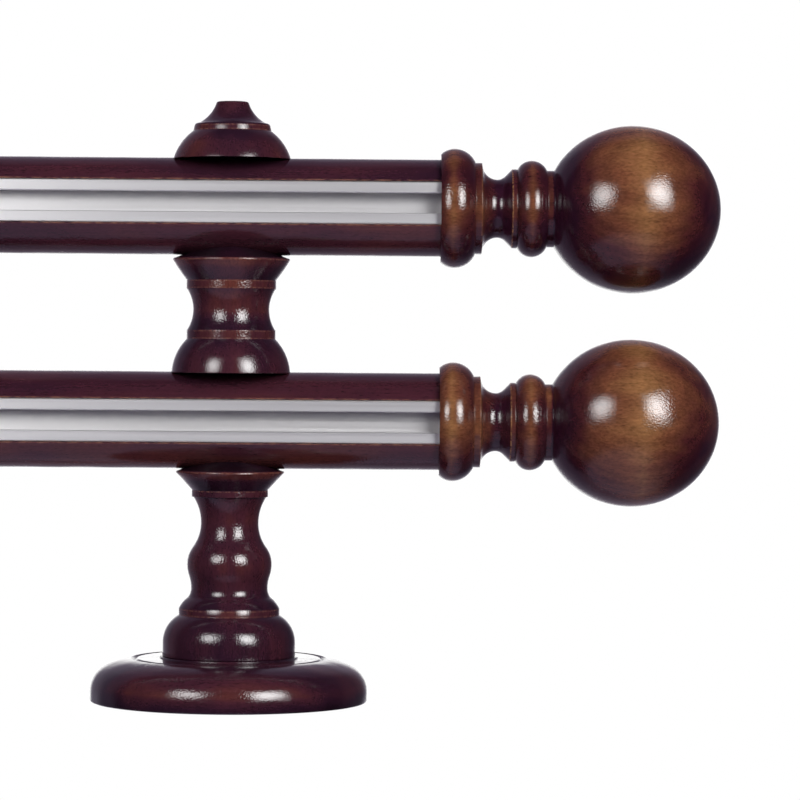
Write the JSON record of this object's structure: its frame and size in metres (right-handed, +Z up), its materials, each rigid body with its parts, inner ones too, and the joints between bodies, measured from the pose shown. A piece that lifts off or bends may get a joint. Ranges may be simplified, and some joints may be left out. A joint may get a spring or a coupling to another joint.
{
  "type": "double curtain pole",
  "caption": "Wall-mounted double curtain pole: dark lacquered round wooden poles with aluminium glider tracks let into their undersides, on turned brackets with ball finials.",
  "frame": {"origin": "on the wall plane, at the height of the pole axes, midway between the two wall fixings", "axes": "+X along the poles to the right as seen from the room, +Y into the wall, +Z up"},
  "size_m": [1.4018, 0.2157, 0.1],
  "materials": {
    "dark_stained_wood": "dark mahogany stain, gloss lacquer",
    "walnut_stained_wood": "walnut stain, satin lacquer",
    "extruded_aluminium": "as extruded, satin",
    "zinc_plated_steel": "zinc plated",
    "brass": "turned"
  },
  "bodies": {
    "root": {"front_left_finial": "walnut_stained_wood", "front_left_finial_stud": "zinc_plated_steel", "front_left_pole_insert": "brass", "front_pole": "dark_stained_wood", "front_right_finial": "walnut_stained_wood", "front_right_finial_stud": "zinc_plated_steel", "front_right_pole_insert": "brass", "front_track": "extruded_aluminium", "front_track_screws": "zinc_plated_steel", "left_bracket_cap": "dark_stained_wood", "left_bracket_leg": "dark_stained_wood", "left_bracket_spacer": "dark_stained_wood", "left_cap_insert": "brass", "left_rosette": "dark_stained_wood", "left_tie_rod": "zinc_plated_steel", "left_wall_sleeve": "zinc_plated_steel", "rear_left_finial": "walnut_stained_wood", "rear_left_finial_stud": "zinc_plated_steel", "rear_left_pole_insert": "brass", "rear_pole": "dark_stained_wood", "rear_right_finial": "walnut_stained_wood", "rear_right_finial_stud": "zinc_plated_steel", "rear_right_pole_insert": "brass", "rear_track": "extruded_aluminium", "rear_track_screws": "zinc_plated_steel", "right_bracket_cap": "dark_stained_wood", "right_bracket_leg": "dark_stained_wood", "right_bracket_spacer": "dark_stained_wood", "right_cap_insert": "brass", "right_rosette": "dark_stained_wood", "right_tie_rod": "zinc_plated_steel", "right_wall_sleeve": "zinc_plated_steel"}
  },
  "joints": []
}
